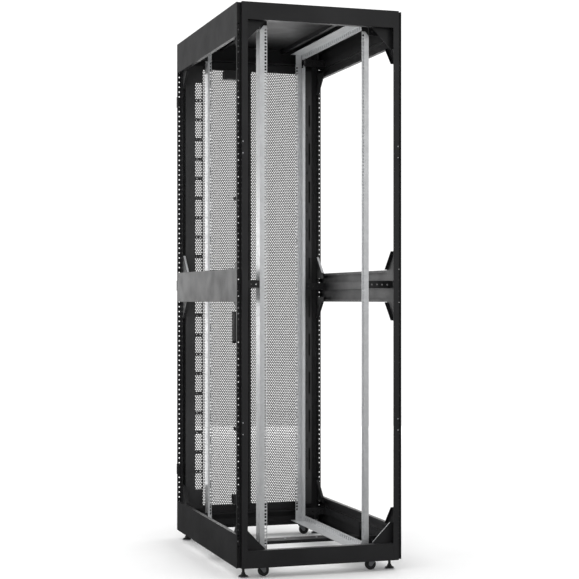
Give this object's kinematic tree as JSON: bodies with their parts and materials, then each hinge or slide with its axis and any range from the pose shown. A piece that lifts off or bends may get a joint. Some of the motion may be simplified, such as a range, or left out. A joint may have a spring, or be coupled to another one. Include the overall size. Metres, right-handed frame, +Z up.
{
  "type": "server rack cabinet",
  "caption": "Tall open rack frame with plated 19-inch rails, perforated split rear doors on lift-off hinges, swivel casters and levelling feet.",
  "frame": {"origin": "on the floor, at the centre of the overall box", "axes": "+Z up, X across the width, -Y towards the open front, the doors are at +Y"},
  "size_m": [0.774, 1.2466, 2.535],
  "materials": {
    "frame_black": "fine satin powder coat, black",
    "skin_black": "smooth satin powder coat, black",
    "door_black": "satin powder coat, black",
    "zinc_rail": "bright zinc-plated sheet steel, faint spangle",
    "zinc_fastener": "zinc-plated steel",
    "wheel_black": "matt black tread",
    "caster_steel": "pressed zinc-plated steel",
    "foot_black": "moulded black base, zinc stem",
    "handle_black": "moulded black, fine grain",
    "panel_grey": "satin powder coat, dark grey",
    "latch_metal": "black-coated steel"
  },
  "bodies": {
    "frame": {"accessory_strip_right": "panel_grey", "base_carriers": "frame_black", "base_cross_member": "frame_black", "beam_front_bottom": "frame_black", "beam_front_top": "frame_black", "beam_rear_bottom": "frame_black", "beam_rear_top": "frame_black", "cable_panel_left": "panel_grey", "caster_plates": "caster_steel", "depth_rails_bottom": "zinc_rail", "depth_rails_top": "zinc_rail", "foot_nuts": "zinc_fastener", "frame_bolts": "zinc_fastener", "front_gussets": "frame_black", "hinge_pintles": "frame_black", "post_front_left": "frame_black", "post_front_right": "frame_black", "post_rear_left": "frame_black", "post_rear_right": "frame_black", "rail_brackets_rear": "zinc_rail", "rail_front_left": "zinc_rail", "rail_front_right": "zinc_rail", "rail_rear_left": "zinc_rail", "rail_rear_right": "zinc_rail", "rail_straps_bottom": "frame_black", "rail_straps_mid": "frame_black", "rail_straps_top": "frame_black", "roof_panel": "frame_black", "side_beam_left_bottom": "skin_black", "side_beam_left_mid": "skin_black", "side_beam_left_top": "skin_black", "side_beam_right_bottom": "skin_black", "side_beam_right_mid": "skin_black", "side_beam_right_top": "skin_black", "side_gussets_left": "frame_black", "side_gussets_right": "frame_black", "side_struts": "frame_black"},
    "door_left": {"door_frame_left": "door_black", "door_sheet_left": "door_black", "lock_case": "latch_metal", "rod_guides": "latch_metal", "handle_escutcheon": "handle_black"},
    "door_right": {"door_frame_right": "door_black", "door_sheet_right": "door_black"},
    "spindle": {"latch_spindle": "latch_metal"},
    "lever": {"handle_lever": "handle_black"},
    "rod_upper": {"latch_rod_upper": "zinc_fastener"},
    "rod_lower": {"latch_rod_lower": "zinc_fastener"},
    "caster_front_left": {"caster_fork_front_left": "caster_steel"},
    "wheel_front_left": {"caster_wheel_front_left": "wheel_black"},
    "foot_front_left": {"levelling_foot_front_left": "foot_black"},
    "caster_front_right": {"caster_fork_front_right": "caster_steel"},
    "wheel_front_right": {"caster_wheel_front_right": "wheel_black"},
    "foot_front_right": {"levelling_foot_front_right": "foot_black"},
    "caster_rear_left": {"caster_fork_rear_left": "caster_steel"},
    "wheel_rear_left": {"caster_wheel_rear_left": "wheel_black"},
    "foot_rear_left": {"levelling_foot_rear_left": "foot_black"},
    "caster_rear_right": {"caster_fork_rear_right": "caster_steel"},
    "wheel_rear_right": {"caster_wheel_rear_right": "wheel_black"},
    "foot_rear_right": {"levelling_foot_rear_right": "foot_black"}
  },
  "joints": [
    {"name": "door_left_hinge", "type": "hinge", "parent": "frame", "child": "door_left", "pos_m": [-0.376, 0.59125, 1.291], "axis": [0, 0, 1], "range_deg": [0, 120]},
    {"name": "door_right_hinge", "type": "hinge", "parent": "frame", "child": "door_right", "pos_m": [0.376, 0.59125, 1.291], "axis": [0, 0, 1], "range_deg": [-120, 0]},
    {"name": "handle_turn", "type": "hinge", "parent": "door_left", "child": "spindle", "pos_m": [-0.0655, 0.60825, 1.1225], "axis": [0, 1, 0], "range_deg": [-90, 0]},
    {"name": "lever_lift", "type": "hinge", "parent": "spindle", "child": "lever", "pos_m": [-0.0655, 0.61665, 1.1135], "axis": [1, 0, 0], "range_deg": [0, 40]},
    {"name": "rod_upper_slide", "type": "slide", "parent": "door_left", "child": "rod_upper", "axis": [0, 0, 1], "range_m": [0, 0.01555]},
    {"name": "rod_lower_slide", "type": "slide", "parent": "door_left", "child": "rod_lower", "axis": [0, 0, 1], "range_m": [-0.0156, 0]},
    {"name": "caster_swivel_front_left", "type": "hinge", "parent": "frame", "child": "caster_front_left", "pos_m": [-0.267, -0.56325, 0.057], "axis": [0, 0, 1], "continuous": true},
    {"name": "wheel_spin_front_left", "type": "hinge", "parent": "caster_front_left", "child": "wheel_front_left", "pos_m": [-0.25314, -0.5613, 0.0255], "axis": [0.1392, -0.9903, 0], "continuous": true},
    {"name": "foot_screw_front_left", "type": "slide", "parent": "frame", "child": "foot_front_left", "axis": [0, 0, 1], "range_m": [-0.012, 0.03]},
    {"name": "caster_swivel_front_right", "type": "hinge", "parent": "frame", "child": "caster_front_right", "pos_m": [0.267, -0.56325, 0.057], "axis": [0, 0, 1], "continuous": true},
    {"name": "wheel_spin_front_right", "type": "hinge", "parent": "caster_front_right", "child": "wheel_front_right", "pos_m": [0.25314, -0.5613, 0.0255], "axis": [0.1392, 0.9903, 0], "continuous": true},
    {"name": "foot_screw_front_right", "type": "slide", "parent": "frame", "child": "foot_front_right", "axis": [0, 0, 1], "range_m": [-0.012, 0.03]},
    {"name": "caster_swivel_rear_left", "type": "hinge", "parent": "frame", "child": "caster_rear_left", "pos_m": [-0.267, 0.51675, 0.057], "axis": [0, 0, 1], "continuous": true},
    {"name": "wheel_spin_rear_left", "type": "hinge", "parent": "caster_rear_left", "child": "wheel_rear_left", "pos_m": [-0.28016, 0.51196, 0.0255], "axis": [-0.342, 0.9397, 0], "continuous": true},
    {"name": "foot_screw_rear_left", "type": "slide", "parent": "frame", "child": "foot_rear_left", "axis": [0, 0, 1], "range_m": [-0.012, 0.03]},
    {"name": "caster_swivel_rear_right", "type": "hinge", "parent": "frame", "child": "caster_rear_right", "pos_m": [0.267, 0.51675, 0.057], "axis": [0, 0, 1], "continuous": true},
    {"name": "wheel_spin_rear_right", "type": "hinge", "parent": "caster_rear_right", "child": "wheel_rear_right", "pos_m": [0.28052, 0.51313, 0.0255], "axis": [-0.2588, -0.9659, 0], "continuous": true},
    {"name": "foot_screw_rear_right", "type": "slide", "parent": "frame", "child": "foot_rear_right", "axis": [0, 0, 1], "range_m": [-0.012, 0.03]}
  ],
  "couplings": [
    {"joint": "handle_turn", "follows": "rod_upper_slide", "rad_per_m": -100.97},
    {"joint": "rod_lower_slide", "follows": "rod_upper_slide", "ratio": -1}
  ]
}
